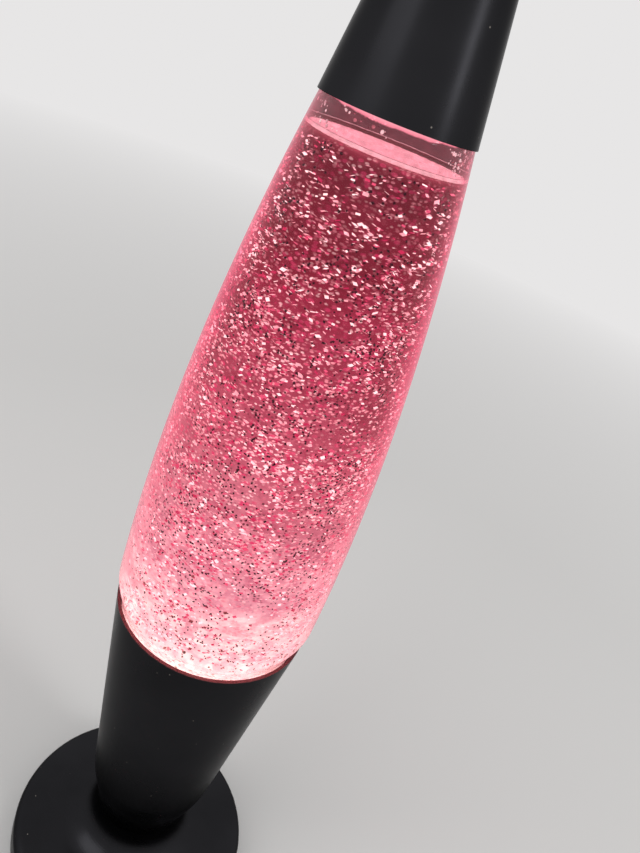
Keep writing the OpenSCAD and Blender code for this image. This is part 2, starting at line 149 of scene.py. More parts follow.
class LampBottleSettings(bpy.types.PropertyGroup):
    """Glass bottle and the dew in it."""

    belly_radius: length("Belly radius", "Largest radius of the bottle", reach_of("bottle_glass"))
    belly_rise: length("Belly rise", "Height of the widest part above the base", 24 * MM)
    seat_room: length("Seat room", "Room for the soft ring between bottle and base", 2.7 * MM)
    collar_gap: length("Collar gap", "Gap between bottle and base at the base's upper edge", 0.6 * MM)
    heel_height: length("Heel height", "Height of the rounded heel above the base", 9 * MM)
    heel_round: length("Heel round", "Radius of the heel", 12 * MM)
    bottom_round: length("Bottom round", "Radius of the edge round the bottom", 8 * MM)
    punt: length("Punt", "Rise of the bottom in the middle", 7 * MM)
    cap_gap: length("Cap gap", "Gap between the cap's lower edge and the bottle", 0.15 * MM)
    shoulder_rise: length("Shoulder rise", "Height of the shoulder's start above the cap's edge", 3 * MM)
    shoulder_height: length("Shoulder height", "Height of the shoulder above the cap's edge", 15 * MM)
    shoulder_round: length("Shoulder round", "Radius of the shoulder", 10 * MM)
    throat_round: length("Throat round", "Radius between shoulder and neck", 9 * MM)
    glass_wall: length("Glass wall", "Thickness of the glass", 2.5 * MM)
    neck_radius: length("Neck radius", "Radius of the neck", 12.5 * MM)
    lip_radius: length("Lip radius", "Radius of the lip", 13.3 * MM)
    lip_height: length("Lip height", "Height of the lip", 5 * MM)
    slope_low: length("Slope's start", "Start of the slope below the lip's lower edge", 0.8 * MM)
    slope_high: length("Slope's end", "End of the slope above the lip's lower edge", 0.6 * MM)
    slope_round: length("Slope round", "Radius at the end of the slope", 1 * MM)
    lip_round: length("Lip round", "Radius of the lip's upper edge", 1.2 * MM)
    tint: colour("Glass tint", "Tint of the glass's surface", (0.98, 0.96, 0.97))
    # Painted light: a rose tint on the glass seen edge on, standing in for the light along its edges
    painted_edge_tint: colour("Painted edge tint", "Rose tint painted on the glass where it is seen edge on", (0.50, 0.09, 0.17))
    depth_tint: colour("Depth tint", "Tint of light that goes far through the glass", (0.95, 0.70, 0.74))
    depth: amount("Depth", "Strength of the glass's depth tint", 120.0, 2000.0)
    sheen: share("Sheen", "Strength of the soft light along the glass's edges", 0.8)
    sheen_tint: colour("Sheen tint", "Colour of the soft light along the glass's edges", (1.0, 0.17, 0.29))
    # Painted light: the mist is real, and its dark rose tint stands in for the liquid's light in it
    mist_glow: colour("Mist glow", "Dark rose tint of the misted glass above the liquid, painted for the liquid's light in the mist", (0.14, 0.030, 0.042))
    drops: count("Drops", "Drops of dew above the liquid", 150, 600)


class LampLiquidSettings(bpy.types.PropertyGroup):
    """Liquid and glitter."""

    meniscus: length("Meniscus", "Height to which the liquid creeps up the glass", 1.2 * MM)
    meniscus_width: length("Meniscus width", "Width of the edge that creeps up the glass", 3.2 * MM)
    film: length("Film", "Gap between liquid and glass", 0.05 * MM)
    glow_share: share("Glow share", "Radius of the lit heart as a part of the bottle's", 0.765)
    heart_depth: length("Heart depth", "Depth of the lit heart's top under the liquid's level", 1.2 * MM)
    heart_dome: length("Heart dome", "Radius of the lit heart's upper edge", 3 * MM)
    dye: colour("Dye", "Colour that the liquid lets through", (0.96, 0.84, 0.87))
    dye_density: amount("Dye density", "Strength of the dye", 90.0, 2000.0)
    flakes: count("Flakes", "Number of glitter flakes", 24000, 24000)
    flake_width: length("Flake width", "Width of a flake", 1.5 * MM)
    flake_thickness: length("Flake thickness", "Thickness of a flake", 0.06 * MM)
    order: amount("Order", "How far bright flakes lie flat and dark ones stand", 2.0, 4.0)
    seed: count("Seed", "Seed of the places of flakes and drops", 7, 9999)


class LampStageSettings(bpy.types.PropertyGroup):
    """Camera, floor and light."""

    focal_pixels: amount("Focal length", "Focal length in pixels of the picture", 720.0, 9999.0)
    camera_distance: length("Camera distance", "Distance of the camera from the lamp's axis", 0.2248)
    camera_height: length("Camera height", "Height of the camera above the floor", 0.3743)
    pitch: angle("Pitch", "How far the camera looks down", 27.0)
    roll: angle("Roll", "How far the camera is rolled", 22.21)
    pan: angle("Pan", "Direction of the lamp's axis from the camera's middle", -3.19)
    backdrop: colour("Backdrop", "Colour of the backdrop", (0.80, 0.79, 0.79))
    floor: colour("Floor", "Colour of the floor", (0.80, 0.79, 0.78))
    floor_radius: length("Floor radius", "Radius of the floor", 12.0, high=100.0)
    fade_start: length("Fade start", "Distance at which the floor starts to fade", 0.5, high=100.0)
    fade_end: length("Fade end", "Distance at which the floor is as the backdrop", 1.8, high=100.0)
    even_light: amount("Even light", "Strength of the light from all round", 0.5, 10.0)


# Outlines


def rounded_corner(a, b, c, radius, step=math.radians(3)):
    """Points of an arc at corner b between a and c, kept within four fifths of each side."""
    a, b, c = Vector(a), Vector(b), Vector(c)
    u, v = (a - b).normalized(), (c - b).normalized()
    half = u.angle(v) / 2
    reach = min(radius / math.tan(half), 0.8 * min((a - b).length, (c - b).length))
    middle = b + (u + v).normalized() * (reach / math.cos(half))
    start = b + u * reach - middle
    sweep = start.angle_signed(b + v * reach - middle)
    steps = max(4, math.ceil(abs(sweep) / step))
    return [middle + Matrix.Rotation(-sweep * k / steps, 2) @ start for k in range(steps + 1)]


def outline(corners):
    """Outline through corners (r, z) or (r, z, radius), with an arc at each one that has a radius."""
    flat = [Vector(p[:2]) for p in corners]
    points = []
    for k, p in enumerate(corners):
        points += rounded_corner(flat[k - 1], flat[k], flat[k + 1], p[2]) if len(p) > 2 else [flat[k]]
    return points


def moved_in(points, distance):
    """Outline moved to the left of its direction, starting on the axis."""
    last = len(points) - 1
    moved = []
    for k, p in enumerate(points):
        t = (points[min(k + 1, last)] - points[max(k - 1, 0)]).normalized()
        moved.append(p + distance * Vector((-t.y, t.x)))
    moved[0].x = 0
    return moved


def radius_at(points, z):
    """Largest radius of an outline at height z."""
    found = [
        p.x + (q.x - p.x) * (z - p.y) / (q.y - p.y)
        for p, q in zip(points, points[1:]) if p.y <= z <= q.y and q.y > p.y
    ]
    return max(found, default=0.0)


def cut_at(points, z):
    """Outline with one more point, at height z, on its side."""
    after = max(k for k, p in enumerate(points) if p.y < z) + 1
    return points[:after] + [Vector((radius_at(points, z), z))] + points[after:]


def cone_inside(metal, z):
    """Inside radius of the base's straight cone at height z."""
    collar = top_of("base_shell")
    slope = (metal.collar_radius - metal.shoulder_radius) / (collar - metal.shoulder_height)
    return metal.collar_radius - slope * (collar - z) - metal.wall * math.hypot(1, slope)


def bottle_outline(metal, bottle, steps=48):
    """Outside of the bottle from the middle of its bottom up to the lip."""
    stand, collar = bottom_of("bottle_glass"), top_of("base_shell")
    cap, lip = bottom_of("cap_shell"), top_of("bottle_glass")
    belly = collar + bottle.belly_rise
    drawn_in = bottle.belly_radius - reach_of("cap_shell") + metal.cap_wall + bottle.cap_gap
    side_round = ((cap - belly) ** 2 + drawn_in**2) / 2 / drawn_in

    def side(z):
        return bottle.belly_radius - side_round + math.sqrt(side_round**2 - (z - belly) ** 2)

    low = cone_inside(metal, stand) - bottle.seat_room
    start, end = collar + bottle.heel_height, cap + bottle.shoulder_rise
    corners = [
        (0, stand + bottle.punt),
        (low / 2, stand + bottle.punt, bottle.bottom_round),
        (low - bottle.bottom_round, stand, bottle.bottom_round / 2),
        (low, stand, bottle.bottom_round),
        (cone_inside(metal, collar) - bottle.collar_gap, collar, bottle.heel_round / 2),
        (side(start), start, bottle.heel_round),
    ]
    corners += [(side(z), z) for z in (start + (end - start) * k / steps for k in range(1, steps))]
    corners += [
        (side(end), end, bottle.shoulder_round),
        (bottle.neck_radius, cap + bottle.shoulder_height, bottle.throat_round),
        (bottle.neck_radius, lip),
    ]
    return outline(corners)


# Meshes


def piece(name, mesh, body, materials, sharp=40):
    """An object from a mesh, smooth but for its sharp edges, riding on a CAD body."""
    for m in materials:
        mesh.materials.append(m)
    mesh.shade_smooth()
    mesh.set_sharp_from_angle(angle=math.radians(sharp))
    obj = bpy.data.objects.new(name, mesh)
    bpy.context.scene.collection.objects.link(obj)
    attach(obj, body)
    return obj


def mesh_of(name, bm):
    """A mesh from a bmesh, which is freed, with its faces turned outward."""
    bmesh.ops.recalc_face_normals(bm, faces=bm.faces)
    mesh = bpy.data.meshes.new(name)
    bm.to_mesh(mesh)
    bm.free()
    return mesh


def spun(points, segments=144):
    """A bmesh of an outline (r, z) that is spun about the lamp's axis."""
    bm = bmesh.new()
    verts = [bm.verts.new((p[0], 0, p[1])) for p in points]
    edges = [bm.edges.new(pair) for pair in zip(verts, verts[1:])]
    bmesh.ops.spin(
        bm, geom=verts + edges, cent=(0, 0, 0), axis=(0, 0, 1), angle=2 * math.pi, steps=segments,
        use_merge=True,
    )
    on_axis = [v for v in bm.verts if v.co.xy.length < SAME_PLACE]
    bmesh.ops.remove_doubles(bm, verts=on_axis, dist=SAME_PLACE)
    return bm


def paint(material, *nodes):
    """Gives CAD nodes one material."""
    for node in nodes:
        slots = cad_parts[node].data.materials
        slots.clear()
        slots.append(material)


# Materials


class Finish:
    """A material with one Principled shader, and short ways to drive it from patterns."""

    def __init__(self, name, **sockets):
        self.material = bpy.data.materials.new(name)
        self.material.use_nodes = True
        self.tree = self.material.node_tree
        self.shader = self.tree.nodes["Principled BSDF"]
        self.output = self.tree.nodes["Material Output"]
        self.place = self.tree.nodes.new("ShaderNodeTexCoord").outputs["Object"]
        for key, value in sockets.items():
            socket = self.shader.inputs[key.replace("_", " ").title().replace("Ior", "IOR")]
            is_colour = hasattr(value, "__len__")
            socket.default_value = (*value, 1.0) if is_colour else value

    def node(self, kind, **settings):
        """A new node with its own properties and inputs set."""
        n = self.tree.nodes.new("ShaderNode" + kind)
        for key, value in settings.items():
            if key in n.inputs:
                n.inputs[key].default_value = value
            else:
                setattr(n, key, value)
        return n

    def link(self, source, target):
        """Links an output to an input of the shader by name, or to a given input."""
        self.tree.links.new(source, self.shader.inputs[target] if isinstance(target, str) else target)

    def mapped(self, stretch, shift=0.0):
        """The piece's own coordinates, stretched and shifted."""
        n = self.node("Mapping", Scale=stretch, Location=(shift, shift, shift))
        self.link(self.place, n.inputs["Vector"])
        return n.outputs["Vector"]

    def noise(self, scale, detail=3.0, stretch=(1, 1, 1), rough=0.5):
        """Noise with features of about 1 / scale metres."""
        n = self.node("TexNoise", Scale=scale, Detail=detail, Roughness=rough)
        self.link(self.mapped(stretch), n.inputs["Vector"])
        return n.outputs["Fac"]

    def specks(self, scale, size, kept, stretch=(1, 1, 1), shift=0.0):
        """Mask of spots 1 / scale metres apart: size is a part of that, kept the part of them that shows."""
        cells = self.node("TexVoronoi", Scale=scale)
        self.link(self.mapped(stretch, shift), cells.inputs["Vector"])
        split = self.node("SeparateColor")
        self.link(cells.outputs["Color"], split.inputs["Color"])
        spot = self.span(cells.outputs["Distance"], 1, 0, 0.7 * size, size)
        shown = self.span(split.outputs["Red"], 0, 1, 1 - kept, 1.01 - kept)
        return self.maths("MULTIPLY", spot, shown)

    def maths(self, operation, a, b):
        """A sum or product of two values. The second may be a plain number."""
        n = self.node("Math", operation=operation)
        self.link(a, n.inputs[0])
        if isinstance(b, (int, float)):
            n.inputs[1].default_value = b
        else:
            self.link(b, n.inputs[1])
        return n.outputs["Value"]

    def ramp(self, source, stops):
        """Colours along a value."""
        n = self.node("ValToRGB")
        band = n.color_ramp.elements
        while len(band) < len(stops):
            band.new(1.0)
        for element, (at, tone) in zip(band, sorted(stops)):
            element.position, element.color = at, (*tone, 1.0)
        self.link(source, n.inputs["Fac"])
        return n.outputs["Color"]

    def span(self, source, low, high, start=0.0, end=1.0):
        """A value mapped from start..end to low..high."""
        n = self.node("MapRange")
        for key, value in (("From Min", start), ("From Max", end), ("To Min", low), ("To Max", high)):
            n.inputs[key].default_value = value
        self.link(source, n.inputs["Value"])
        return n.outputs["Result"]

    def mix(self, factor, a, b, blend="MIX"):
        """Two colours mixed by a value, or fully if it is None. Each is an output or a plain colour."""
        n = self.node("Mix", data_type="RGBA", blend_type=blend)
        if factor:
            self.link(factor, n.inputs["Factor"])
        else:
            n.inputs["Factor"].default_value = 1.0
        for key, value in (("A", a), ("B", b)):
            socket = next(s for s in n.inputs if s.name == key and s.type == "RGBA")
            if hasattr(value, "default_value"):
                self.link(value, socket)
            else:
                socket.default_value = (*value, 1.0)
        return next(s for s in n.outputs if s.type == "RGBA")

    def bump(self, source, depth, strength=1.0):
        """Relief on the surface, depth in metres."""
        n = self.node("Bump", Strength=strength, Distance=depth)
        self.link(source, n.inputs["Height"])
        self.link(n.outputs["Normal"], "Normal")

    def along(self, axis):
        """The piece's own coordinate along X, Y or Z."""
        split = self.node("SeparateXYZ")
        self.link(self.place, split.inputs["Vector"])
        return split.outputs[axis]

    def at_slant(self, start, end):
        """Mask from 0 to 1 between two slants of view, of which 0 is face on and 1 is edge on."""
        return self.span(self.node("LayerWeight", Blend=0.5).outputs["Facing"], 0, 1, start, end)

    def by_height(self, zero, stops, wave=0.0, scale=40.0, sag=0.0):
        """Colours at heights in millimetres above zero, moved by noise and lower at front and back."""
        low, high = stops[0][0], stops[-1][0]
        height = self.along("Z")
        if wave:
            lift = self.maths("MULTIPLY", self.noise(scale, 3.0, (1, 1, 0.6)), wave)
            height = self.maths("ADD", lift, height)
        if sag:
            off = self.node("Math", operation="ABSOLUTE")
            self.link(self.along("Y"), off.inputs[0])
            height = self.maths("ADD", height, self.maths("MULTIPLY", off.outputs[0], sag))
        start = zero + wave / 2
        along = self.span(height, 0, 1, start + low * MM, start + high * MM)
        return self.ramp(along, [((z - low) / (high - low), tone) for z, tone in stops])

    def part_by_height(self, zero, stops):
        """Mask with parts from 0 to 1 at heights in millimetres above zero."""
        return self.by_height(zero, [(z, (part, part, part)) for z, part in stops])


def plain_finish(name, tone, rough, grain, metallic=0.0, relief=0.02 * MM, stretch=(1, 1, 1), **sockets):
    """A finish with two tones, uneven gloss and fine relief. Made once for each name."""
    if name in bpy.data.materials:
        return bpy.data.materials[name]
    f = Finish(name, metallic=metallic, **sockets)
    dark, light = ([c * k for c in tone] for k in (0.8, 1.12))
    f.link(f.ramp(f.noise(grain, 4.0, stretch), [(0.35, dark), (0.68, light)]), "Base Color")
    f.link(f.span(f.noise(grain * 0.4, 3.0), rough[0], rough[1], 0.3, 0.7), "Roughness")
    f.bump(f.noise(grain * 6, 2.0, stretch), relief)
    return f.material


def black_rubber(inside):
    """Matt black rubber."""
    return plain_finish("black rubber", inside.rubber, (0.62, 0.82), 260.0, relief=0.03 * MM)


def zinc_steel(inside):
    """Zinc-plated sheet steel with its faint rolling grain."""
    return plain_finish(
        "zinc-plated steel", inside.steel, (0.28, 0.48), 120.0, metallic=1.0, relief=0.01 * MM,
        stretch=(4, 1, 1),
    )


def drawn_brass(inside):
    """Drawn brass."""
    return plain_finish(
        "drawn brass", inside.brass, (0.22, 0.4), 160.0, metallic=1.0, relief=0.01 * MM, stretch=(1, 1, 4),
    )


def moulded_holder(inside):
    """Pale moulded plastic of the lamp holder."""
    return plain_finish("moulded holder", inside.holder, (0.35, 0.55), 140.0, relief=0.03 * MM)


def rolled_aluminium(inside):
    """Rolled aluminium of the bulb's screw cap, with fine lines round it."""
    return plain_finish(
        "rolled aluminium", inside.screw_cap, (0.25, 0.42), 180.0, metallic=1.0, stretch=(1, 1, 6),
    )


def solder(inside):
    """Dull uneven solder of the bulb's contact."""
    return plain_finish("solder", inside.steel, (0.3, 0.5), 700.0, metallic=1.0, relief=0.05 * MM)


def stem_glass(inside):
    """Glass of the stem in the bulb."""
    return plain_finish("stem glass", inside.bulb, (0.08, 0.2), 120.0)


def black_glass(inside):
    """Glossy black glass at the end of the bulb's cap."""
    return plain_finish("black glass", inside.insulator, (0.08, 0.22), 200.0)


def lacquered_tinplate(inside):
    """Lacquered tinplate of the bottle's closure."""
    return plain_finish("lacquered tinplate", inside.crown, (0.2, 0.38), 90.0, metallic=1.0)


def soft_liner(inside):
    """Matt soft disc under the crown."""
    return plain_finish("soft liner", inside.liner, (0.6, 0.75), 300.0)


# Liquid's rose glow painted on the edge of the base's collar: how strong it is, at heights in millimetres
# above the collar
COLLAR_GLOW_SPAN = [(-0.6, 0.0), (-0.3, 1.0), (0.0, 1.0), (0.4, 0.0)]


def gunmetal(metal):
    """Satin dark metal with the faint lines of spinning, specks of dust and the liquid's rose glow painted
    on the collar's edge.
    """
    if "satin gunmetal" in bpy.data.materials:
        return bpy.data.materials["satin gunmetal"]
    f = Finish("satin gunmetal", metallic=1.0, specular_tint=(0.55, 0.55, 0.55))
    tone = f.ramp(f.noise(16.0, 4.0), [(0.35, metal.dark), (0.7, metal.light)])
    # Painted light: the liquid's rose glow on the collar's edge, mixed into the metal's colour
    tone = f.mix(f.part_by_height(top_of("base_shell"), COLLAR_GLOW_SPAN), tone, metal.painted_collar_glow)
    f.link(f.mix(f.specks(210.0, 0.06, 0.3), tone, metal.dust), "Base Color")
    f.link(f.span(f.noise(30.0, 4.0), 0.25, 0.33, 0.3, 0.7), "Roughness")
    f.bump(f.noise(420.0, 2.0, (1, 1, 5)), 0.004 * MM, 0.35)
    return f.material


# Light that the wall of the glass carries and shows edge on, at heights in millimetres above the collar
EDGE_LIGHT = [
    (-46, (0.50, 0.200, 0.200)),
    (0, (0.80, 0.420, 0.400)),
    (34, (0.72, 0.220, 0.270)),
    (69, (0.62, 0.085, 0.150)),
    (134, (0.42, 0.015, 0.075)),
    (174, (0.34, 0.006, 0.050)),
    (195, (0.14, 0.004, 0.018)),
    (200, (0.0, 0.0, 0.0)),
]
# How much of that light and of the painted edge tint shows, at heights in millimetres above the collar
EDGE_SHOWN = [(0, 0.30), (34, 0.38), (69, 0.50), (134, 1.0)]


def bottle_glass(bottle, filled):
    """Clear moulded glass, faintly wavy, with light and a rose tint painted on where it is seen edge on, and
    deeper in colour where it is filled.
    """
    name = "filled glass" if filled else "empty glass"
    f = Finish(
        name, transmission_weight=1.0, ior=1.45, roughness=0.0, specular_tint=(0.5, 0.5, 0.5),
        sheen_weight=bottle.sheen, sheen_roughness=0.3, sheen_tint=bottle.sheen_tint, emission_strength=1.0,
    )
    collar = top_of("base_shell")
    slant = f.maths("MULTIPLY", f.at_slant(0.46, 0.72), f.part_by_height(collar, EDGE_SHOWN))
    # Painted light: the glass takes a rose tint where it is seen edge on
    f.link(f.mix(slant, bottle.tint, bottle.painted_edge_tint), "Base Color")
    f.link(f.mix(slant, (0, 0, 0), f.by_height(collar, EDGE_LIGHT, 24 * MM, 45.0)), "Emission Color")
    f.bump(f.noise(28.0, 1.0, (1, 1, 0.4)), 0.05 * MM, 0.35)
    if filled:
        depth = f.node("VolumeAbsorption", Color=(*bottle.depth_tint, 1.0), Density=bottle.depth)
        f.link(depth.outputs["Volume"], f.output.inputs["Volume"])
    return f.material


# Light in the wet glass at heights in millimetres above the collar: bright at the collar, and none above it
HEEL_LIGHT = [
    (-46, (0.05, 0.020, 0.020)),
    (-18, (0.12, 0.060, 0.055)),
    (-6, (0.28, 0.16, 0.14)),
    (0, (0.70, 0.50, 0.40)),
    (5, (0.32, 0.20, 0.16)),
    (12, (0.0, 0.0, 0.0)),
]


def wet_glass():
    """Inside of the glass where the liquid wets it: light passes straight on, and the heel is lit."""
    f = Finish(
        "wet glass", base_color=(1, 1, 1), transmission_weight=1.0, ior=1.0, roughness=0.0,
        emission_strength=1.0,
    )
    f.link(f.by_height(top_of("base_shell"), HEEL_LIGHT, 3 * MM, 60.0), "Emission Color")
    return f.material


# Light in the misted glass at heights in millimetres above the cap's edge: mist, lit film of liquid, neck
MIST_LIGHT = [
    (-9.5, (0.035, 0.008, 0.011)),
    (0.7, (0.035, 0.008, 0.011)),
    (1.0, (0.88, 0.22, 0.30)),
    (2.6, (1.00, 0.48, 0.54)),
    (5.0, (0.06, 0.02, 0.024)),
    (36.0, (0.02, 0.006, 0.008)),
]


def misted_glass(bottle):
    """Inside of the glass above the liquid, misted and lit from below."""
    f = Finish("misted glass", transmission_weight=1.0, ior=1.25, emission_strength=1.0)
    # Painted light: the mist's dark rose tint stands in for the liquid's light scattered in it
    thin, thick = ([k * c for c in bottle.mist_glow] for k in (1.25, 0.72))
    f.link(f.ramp(f.noise(330.0, 4.0, (1, 1, 1.5), 0.6), [(0.4, thin), (0.62, thick)]), "Base Color")
    f.link(f.by_height(bottom_of("cap_shell"), MIST_LIGHT, 1.1 * MM, 260.0, 0.1), "Emission Color")
    f.link(f.span(f.noise(160.0, 4.0), 0.0, 0.10, 0.4, 0.7), "Roughness")
    f.bump(f.noise(130.0, 3.0, (1, 1, 2.5)), 0.10 * MM, 0.3)
    return f.material


# Glow of the lit liquid at heights in millimetres above the collar: near white there, deep rose at the top
GLOW = [
    (-46, (0.60, 0.47, 0.44)),
    (-16, (0.76, 0.65, 0.60)),
    (6, (0.95, 1.00, 0.86)),
    (20, (0.82, 0.74, 0.66)),
    (34, (0.64, 0.47, 0.48)),
    (49, (0.55, 0.31, 0.345)),
    (69, (0.45, 0.205, 0.24)),
    (92, (0.35, 0.10, 0.138)),
    (119, (0.25, 0.044, 0.076)),
    (142, (0.18, 0.013, 0.037)),
    (156, (0.11, 0.003, 0.016)),
    (184, (0.050, 0.001, 0.006)),
]
# How much of the flakes deep in the liquid shows, at heights in millimetres above the collar
MOST = [(12, 0.12), (59, 1.0), (104, 1.0), (159, 0.30)]
OVER_BULB = [(10, 1.0), (40, 0.0)]
# Flakes deep in the liquid: number along a metre, size, part that shows, flatness, where they show, colour
DRIFT = [
    (560.0, 0.58, 0.36, 1.6, MOST, (0.42, 0.030, 0.10)),
    (740.0, 0.56, 0.40, 1.8, MOST, (0.58, 0.24, 0.28)),
    (690.0, 0.48, 0.26, 1.7, MOST, (0.68, 0.50, 0.49)),
    (900.0, 0.44, 0.42, 1.2, MOST, (0.03, 0.003, 0.007)),
    (300.0, 0.62, 0.45, 1.3, OVER_BULB, (1.00, 0.96, 0.84)),
    (620.0, 0.40, 0.35, 1.2, OVER_BULB, (0.46, 0.14, 0.18)),
]


def lit_liquid():
    """Heart of the liquid, full of drifting flakes that catch the light or stand against it."""
    f = Finish(
        "lit liquid", base_color=(0.10, 0.015, 0.03), roughness=0.6, specular_ior_level=0.1,
        emission_strength=2.0,
    )
    collar = top_of("base_shell")
    tone = f.by_height(collar, GLOW, 36 * MM, 34.0)
    shades = [(0.35, (0.78, 0.60, 0.68)), (0.65, (1.0, 1.0, 1.0))]
    for scale in (70.0, 260.0):
        tone = f.mix(None, tone, f.ramp(f.noise(scale, 3.0, (1, 1, 1.6)), shades), "MULTIPLY")
    for scale, size, kept, flat, zone, spot in DRIFT:
        spots = f.specks(scale, size, kept, (1, 1, flat), scale * MM)
        cloud = f.span(f.noise(scale * 0.12, 2.0, (1, 1, flat)), 0.15, 1.0, 0.42, 0.58)
        shown = f.maths("MULTIPLY", cloud, f.part_by_height(collar, zone))
        tone = f.mix(f.maths("MULTIPLY", spots, shown), tone, spot)
    f.link(tone, "Emission Color")
    return f.material


def clear_liquid(liquid):
    """Clear dyed liquid between the lit heart and the glass."""
    f = Finish("dyed liquid", base_color=(1, 1, 1), transmission_weight=1.0, ior=1.0, roughness=0.0)
    dye = f.node("VolumeAbsorption", Color=(*liquid.dye, 1.0), Density=liquid.dye_density)
    f.link(dye.outputs["Volume"], f.output.inputs["Volume"])
    return f.material


def liquid_top():
    """The liquid's lit surface under the cap, with a thin scum of dust."""
    f = Finish("lit liquid surface", base_color=(0.5, 0.2, 0.24), roughness=0.12, emission_strength=2.8)
    skin = f.noise(220.0, 5.0, (1, 1, 1), 0.65)
    tones = [(0.3, (0.84, 0.58, 0.62)), (0.55, (0.89, 0.66, 0.68)), (0.75, (0.95, 0.80, 0.80))]
    f.link(f.mix(f.specks(330.0, 0.12, 0.12), f.ramp(skin, tones), (0.12, 0.02, 0.03)), "Emission Color")
    f.bump(f.noise(120.0, 2.0), 0.15 * MM, 0.5)
    return f.material


def meniscus(name, dark, light, strength):
    """Edge of the liquid where it creeps up the glass: dim from above, and lit where it meets the glass."""
    f = Finish(name, base_color=(0.2, 0.06, 0.08), roughness=0.1, emission_strength=strength)
    f.link(f.ramp(f.noise(150.0, 3.0), [(0.3, dark), (0.7, light)]), "Emission Color")
    return f.material


# Glitter foil in painted lit and shaded copies, from a painted glint (spark) to painted shade (dark): name,
# colour, strength of its light
FOILS = [
    ("foil spark", (1.0, 0.73, 0.74), 1.5),
    ("foil pale", (1.0, 0.46, 0.52), 1.15),
    ("foil rose", (0.86, 0.11, 0.23), 0.9),
    ("foil crimson", (0.70, 0.03, 0.13), 0.8),
    ("foil russet", (0.34, 0.075, 0.085), 0.8),
    ("foil dark", (0.040, 0.004, 0.012), 0.8),
]
DARK_FOIL = len(FOILS) - 1


def foil(name, tone, strength):
    """Mirror foil lit by the bulb."""
    dull = [0.25 * c for c in tone]
    return Finish(
        name, base_color=dull, metallic=1.0, roughness=0.25, emission_color=tone, emission_strength=strength,
    ).material


def dew(name, tone, strength):
    """Drop of condensed liquid that catches the light."""
    return Finish(
        name, base_color=(0.9, 0.6, 0.65), roughness=0.05, ior=1.33, emission_color=tone,
        emission_strength=strength,
    ).material


def lit_bulb(inside):
    """Frosted glass of the burning bulb, silvered inside below its face and brightest at its top."""
    f = Finish("lit frosted glass", roughness=0.35, emission_strength=1.0)
    top = top_of("bulb_envelope")
    # Heights in millimetres above the bulb's top
    neck, silver_end, face, middle = (bottom_of("bulb_envelope") - top) / MM, -16, -12, -3
    silver = [0.55 * c for c in inside.bulb]
    glass = [(neck, silver), (silver_end, silver), (face, inside.bulb)]
    f.link(f.by_height(top, glass, 1 * MM, 90.0), "Base Color")
    edge, side = ([k * c for c in inside.bulb_light] for k in (0.30, 0.05))
    light = [(neck, side), (silver_end, side), (face, edge), (middle, inside.bulb_light), (0, (1, 0.9, 0.7))]
    f.link(f.by_height(top, light, 1 * MM, 90.0), "Emission Color")
    f.bump(f.noise(1800.0, 2.0), 0.02 * MM, 0.4)
    return f.material


def hot_wire(inside):
    """Glowing wire of the bulb."""
    f = Finish("hot wire", base_color=(0.5, 0.45, 0.4), metallic=1.0, roughness=0.4, emission_strength=1.5)
    tones = [(0.3, inside.bulb_light), (0.7, (1.0, 0.86, 0.62))]
    f.link(f.ramp(f.noise(500.0, 2.0), tones), "Emission Color")
    return f.material


def pale_floor(stage):
    """Matt floor that fades into the backdrop's light with its distance from the lamp."""
    f = Finish("pale floor", base_color=stage.floor, roughness=0.75, specular_ior_level=0.2)
    f.bump(f.noise(400.0, 2.0), 0.05 * MM, 0.3)
    far = f.node("VectorMath", operation="LENGTH")
    f.link(f.place, far.inputs[0])
    fade = f.span(far.outputs["Value"], 0.0, 1.0, stage.fade_start, stage.fade_end)
    glow = f.node("Emission", Color=(*stage.backdrop, 1.0), Strength=1.0)
    both = f.node("MixShader")
    f.link(fade, both.inputs[0])
    f.link(f.shader.outputs[0], both.inputs[1])
    f.link(glow.outputs[0], both.inputs[2])
    f.link(both.outputs[0], f.output.inputs["Surface"])
    return f.material


# Operators


class LAMP_OT_base(bpy.types.Operator):
    """Finish the spun metal base and the soft ring that the bottle stands on"""

    bl_idname = "lamp.base"
    bl_label = "Base"

    def execute(self, context):
        paint(gunmetal(context.scene.lamp_metal), "base_shell")
        paint(black_rubber(context.scene.lamp_inside), "seat_ring")
        return {"FINISHED"}


class LAMP_OT_foot(bpy.types.Operator):
    """Finish the cover, tabs, screws and soft ring under the foot, and the cord's bush"""

    bl_idname = "lamp.foot"
    bl_label = "Foot"

    def execute(self, context):
        inside = context.scene.lamp_inside
        paint(zinc_steel(inside), "bottom_cover", "cover_tabs", "cover_screws")
        paint(black_rubber(inside), "foot_ring", "cord_bush")
        return {"FINISHED"}


class LAMP_OT_holder(bpy.types.Operator):
    """Finish the lamp holder, its bracket and its brass"""

    bl_idname = "lamp.holder"
    bl_label = "Lamp holder"

    def execute(self, context):
        inside = context.scene.lamp_inside
        paint(zinc_steel(inside), "holder_bracket", "bracket_screws")
        paint(moulded_holder(inside), "holder_body")
        paint(drawn_brass(inside), "holder_nut", "holder_shell", "holder_contact")
        return {"FINISHED"}


class LAMP_OT_bulb(bpy.types.Operator):
    """Finish the burning bulb"""

    bl_idname = "lamp.bulb"
    bl_label = "Bulb"

    def execute(self, context):
        inside = context.scene.lamp_inside
        paint(lit_bulb(inside), "bulb_envelope")
        paint(stem_glass(inside), "bulb_stem")
        paint(hot_wire(inside), "bulb_leads", "bulb_filament")
        paint(rolled_aluminium(inside), "bulb_screw_cap")
        paint(black_glass(inside), "bulb_insulator")
        paint(solder(inside), "bulb_tip")
        return {"FINISHED"}


class LAMP_OT_closure(bpy.types.Operator):
    """Finish the crown and the liner that close the bottle"""

    bl_idname = "lamp.closure"
    bl_label = "Closure"

    def execute(self, context):
        inside = context.scene.lamp_inside
        paint(lacquered_tinplate(inside), "crown_closure")
        paint(soft_liner(inside), "crown_liner")
        return {"FINISHED"}


